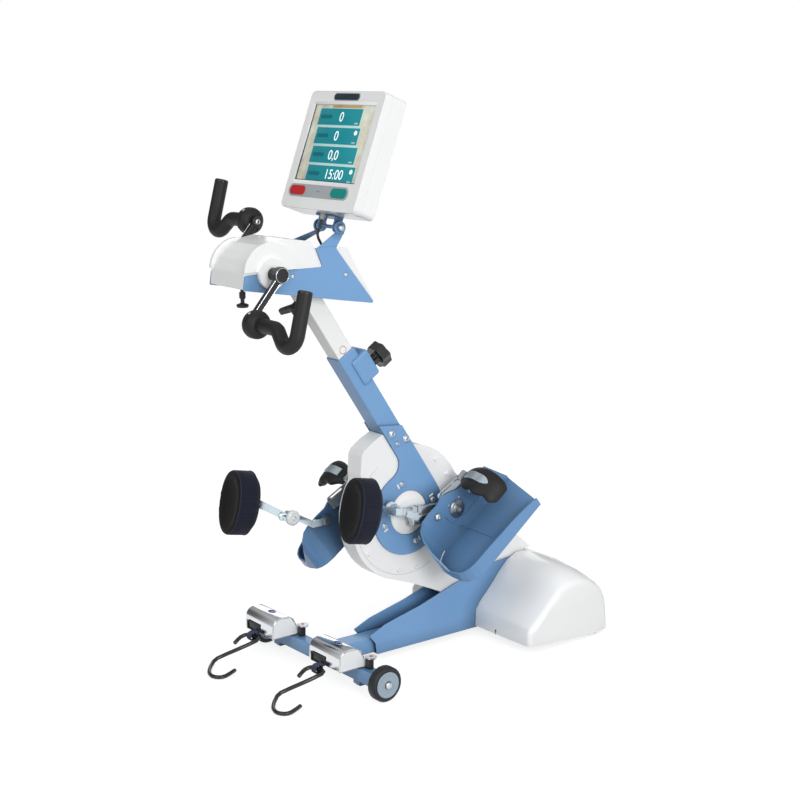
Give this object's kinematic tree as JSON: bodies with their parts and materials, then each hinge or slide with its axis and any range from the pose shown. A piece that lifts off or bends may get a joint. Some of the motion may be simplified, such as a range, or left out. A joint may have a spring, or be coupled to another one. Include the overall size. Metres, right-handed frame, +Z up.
{
  "type": "active passive trainer",
  "caption": "Seated leg and arm cycling trainer: motor-assisted cranks, foot shells, calf pads, grips and a display on a mast over a wheeled base.",
  "frame": {"origin": "centre of the bounding box on the floor", "axes": "+X the user's right, +Y away from the seated user, +Z up"},
  "size_m": [0.5532, 0.9174, 1.2304],
  "materials": {
    "blue_paint": "satin powder coat",
    "blue_plastic": "satin",
    "white_plastic": "semi-gloss",
    "white_paint": "satin",
    "black_plastic": "satin",
    "black_paint": "gloss",
    "black_foam": "matt",
    "tyre": "matt",
    "foot_rubber": "matt",
    "steel": "zinc plated",
    "chrome": "polished",
    "pad_fabric": "woven",
    "webbing": "woven",
    "screen_glass": "lit display",
    "red_button": "satin",
    "green_button": "satin"
  },
  "bodies": {
    "base": {"front_frame": "blue_paint", "wheel_axle": "steel", "base_channel": "blue_paint", "near_rear_foot": "foot_rubber", "far_rear_foot": "foot_rubber", "rear_cover": "white_plastic", "lower_mast": "blue_paint", "near_side_plate": "blue_paint", "far_side_plate": "blue_paint", "near_leg_case": "white_plastic", "far_leg_case": "white_plastic", "rear_leg_case": "white_plastic", "leg_motor": "black_plastic", "leg_drive_belt": "black_foam", "near_reel": "chrome", "far_reel": "chrome", "near_reel_cap": "white_plastic", "far_reel_cap": "white_plastic"},
    "near_wheel": {"near_wheel": "tyre"},
    "far_wheel": {"far_wheel": "tyre"},
    "arm_unit": {"upper_mast": "white_paint", "near_arm_plate": "blue_paint", "far_arm_plate": "blue_paint", "arm_housing": "white_plastic", "arm_motor": "black_plastic", "monitor_cable": "black_plastic"},
    "mast_knob": {"mast_knob": "black_plastic"},
    "leg_crank": {"leg_crank_shaft": "steel", "near_leg_crank": "steel", "far_leg_crank": "steel"},
    "leg_motor_pulley": {"leg_motor_pulley": "steel"},
    "near_foot": {"near_foot_shell": "blue_plastic", "near_clamp_bar": "steel"},
    "far_foot": {"far_foot_shell": "blue_plastic", "far_clamp_bar": "steel"},
    "near_foot_clamp": {"near_foot_clamp": "black_plastic"},
    "far_foot_clamp": {"far_foot_clamp": "black_plastic"},
    "near_calf": {"near_calf_arm": "steel", "near_calf_pad": "pad_fabric"},
    "far_calf": {"far_calf_arm": "steel", "far_calf_pad": "pad_fabric"},
    "near_strap": {"near_webbing": "webbing", "near_hook": "black_paint"},
    "far_strap": {"far_webbing": "webbing", "far_hook": "black_paint"},
    "near_reel_lever": {"near_reel_lever": "steel"},
    "far_reel_lever": {"far_reel_lever": "steel"},
    "arm_crank": {"arm_crank_shaft": "steel", "near_arm_crank": "black_paint", "far_arm_crank": "black_paint"},
    "near_handle": {"near_handle": "black_foam"},
    "far_handle": {"far_handle": "black_foam"},
    "lock_plunger": {"lock_plunger": "black_plastic"},
    "wing_knob": {"wing_knob": "black_plastic"},
    "monitor": {"monitor_front": "white_plastic", "monitor_back": "white_plastic", "monitor_screen": "screen_glass", "monitor_bracket": "blue_paint"},
    "stop_button": {"stop_button": "red_button"},
    "start_button": {"start_button": "green_button"}
  },
  "joints": [
    {"name": "near_wheel_spin", "type": "hinge", "parent": "base", "child": "near_wheel", "pos_m": [0.209, -0.1983, 0.0375], "axis": [1, 0, 0], "continuous": true},
    {"name": "far_wheel_spin", "type": "hinge", "parent": "base", "child": "far_wheel", "pos_m": [-0.209, -0.1983, 0.0375], "axis": [1, 0, 0], "continuous": true},
    {"name": "height_slide", "type": "slide", "parent": "base", "child": "arm_unit", "axis": [0, -0.557, 0.8305], "range_m": [-0.08, 0.12]},
    {"name": "mast_knob_turn", "type": "hinge", "parent": "base", "child": "mast_knob", "pos_m": [0, -0.10713, 0.63385], "axis": [0, 0.8305, 0.557], "range_deg": [-180, 180]},
    {"name": "leg_crank_spin", "type": "hinge", "parent": "base", "child": "leg_crank", "pos_m": [0, 0.0167, 0.322], "axis": [1, 0, 0], "continuous": true},
    {"name": "leg_motor_spin", "type": "hinge", "parent": "base", "child": "leg_motor_pulley", "pos_m": [0, -0.0597, 0.27073], "axis": [1, 0, 0], "continuous": true},
    {"name": "near_foot_pivot", "type": "hinge", "parent": "leg_crank", "child": "near_foot", "pos_m": [0, 0.11668, 0.32401], "axis": [1, 0, 0], "continuous": true},
    {"name": "near_foot_clamp_open", "type": "hinge", "parent": "near_foot", "child": "near_foot_clamp", "pos_m": [0.076, 0.08651, 0.36262], "axis": [0, -0.788, -0.6157], "range_deg": [0, 70]},
    {"name": "near_calf_swing", "type": "hinge", "parent": "near_foot", "child": "near_calf", "pos_m": [0, 0.06065, 0.3145], "axis": [1, 0, 0], "range_deg": [-15, 15]},
    {"name": "near_strap_pull", "type": "slide", "parent": "base", "child": "near_strap", "axis": [0, -1, 0], "range_m": [0, 0.05], "stiffness_N_per_m": 30, "springref_m": -0.02},
    {"name": "near_reel_lever_turn", "type": "hinge", "parent": "base", "child": "near_reel_lever", "pos_m": [0.164, -0.1943, 0.0728], "axis": [0, 0, 1], "range_deg": [0, 60]},
    {"name": "far_foot_pivot", "type": "hinge", "parent": "leg_crank", "child": "far_foot", "pos_m": [0, -0.08328, 0.31999], "axis": [1, 0, 0], "continuous": true},
    {"name": "far_foot_clamp_open", "type": "hinge", "parent": "far_foot", "child": "far_foot_clamp", "pos_m": [-0.076, -0.11345, 0.35861], "axis": [0, 0.788, 0.6157], "range_deg": [0, 70]},
    {"name": "far_calf_swing", "type": "hinge", "parent": "far_foot", "child": "far_calf", "pos_m": [0, -0.13931, 0.31049], "axis": [1, 0, 0], "range_deg": [-15, 15]},
    {"name": "far_strap_pull", "type": "slide", "parent": "base", "child": "far_strap", "axis": [0, -1, 0], "range_m": [0, 0.05], "stiffness_N_per_m": 30, "springref_m": -0.02},
    {"name": "far_reel_lever_turn", "type": "hinge", "parent": "base", "child": "far_reel_lever", "pos_m": [-0.085, -0.1943, 0.0728], "axis": [0, 0, 1], "range_deg": [0, 60]},
    {"name": "arm_crank_spin", "type": "hinge", "parent": "arm_unit", "child": "arm_crank", "pos_m": [0, -0.3578, 0.88], "axis": [1, 0, 0], "continuous": true},
    {"name": "near_handle_spin", "type": "hinge", "parent": "arm_crank", "child": "near_handle", "pos_m": [0, -0.4307, 0.79313], "axis": [1, 0, 0], "continuous": true},
    {"name": "far_handle_spin", "type": "hinge", "parent": "arm_crank", "child": "far_handle", "pos_m": [0, -0.28491, 0.96687], "axis": [1, 0, 0], "continuous": true},
    {"name": "lock_plunger_pull", "type": "slide", "parent": "arm_unit", "child": "lock_plunger", "axis": [0, 0, -1], "range_m": [0, 0.008], "stiffness_N_per_m": 200, "springref_m": -0.005},
    {"name": "wing_knob_turn", "type": "hinge", "parent": "arm_unit", "child": "wing_knob", "pos_m": [0, -0.24715, 0.80544], "axis": [0, -0.8305, -0.557], "range_deg": [-180, 180]},
    {"name": "monitor_tilt", "type": "hinge", "parent": "arm_unit", "child": "monitor", "pos_m": [0, -0.1703, 0.9575], "axis": [1, 0, 0], "range_deg": [-20, 20]},
    {"name": "stop_button_press", "type": "slide", "parent": "monitor", "child": "stop_button", "axis": [0, 0.9385, -0.3453], "range_m": [0, 0.0015], "stiffness_N_per_m": 400, "springref_m": -0.001},
    {"name": "start_button_press", "type": "slide", "parent": "monitor", "child": "start_button", "axis": [0, 0.9385, -0.3453], "range_m": [0, 0.0015], "stiffness_N_per_m": 400, "springref_m": -0.001}
  ],
  "couplings": [
    {"joint": "near_foot_pivot", "follows": "leg_crank_spin", "ratio": -1},
    {"joint": "far_foot_pivot", "follows": "leg_crank_spin", "ratio": -1},
    {"joint": "leg_motor_spin", "follows": "leg_crank_spin", "ratio": 2.8571}
  ]
}
